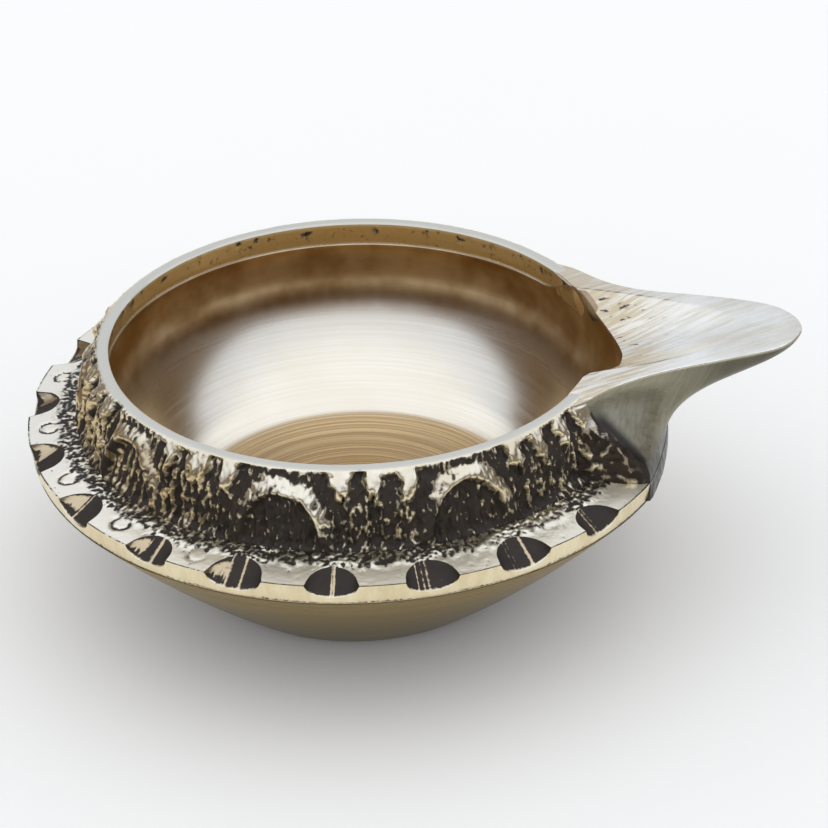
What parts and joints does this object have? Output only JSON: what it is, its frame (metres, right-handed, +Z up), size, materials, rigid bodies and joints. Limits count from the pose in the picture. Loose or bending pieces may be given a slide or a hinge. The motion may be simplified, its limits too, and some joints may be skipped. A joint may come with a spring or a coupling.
{
  "type": "butter lamp",
  "caption": "Small cast brass butter or oil lamp: a footed turned bowl inside a carved collar with a scalloped flange, and a pointed filed spout with a shallow wick channel.",
  "frame": {"origin": "centre of the flat foot, on the surface that the lamp stands on", "axes": "+Z up through the bowl's axis, +X along the spout"},
  "size_m": [0.0792, 0.067, 0.0265],
  "materials": {
    "turned_brass": "turned and polished",
    "cast_brass": "cast and carved, dark in the recesses",
    "filed_brass": "filed satin",
    "braze": "as brazed"
  },
  "bodies": {
    "root": {"bowl": "turned_brass", "collar": "cast_brass", "spout": "filed_brass", "bowl_braze": "braze", "spout_braze": "braze"}
  },
  "joints": []
}
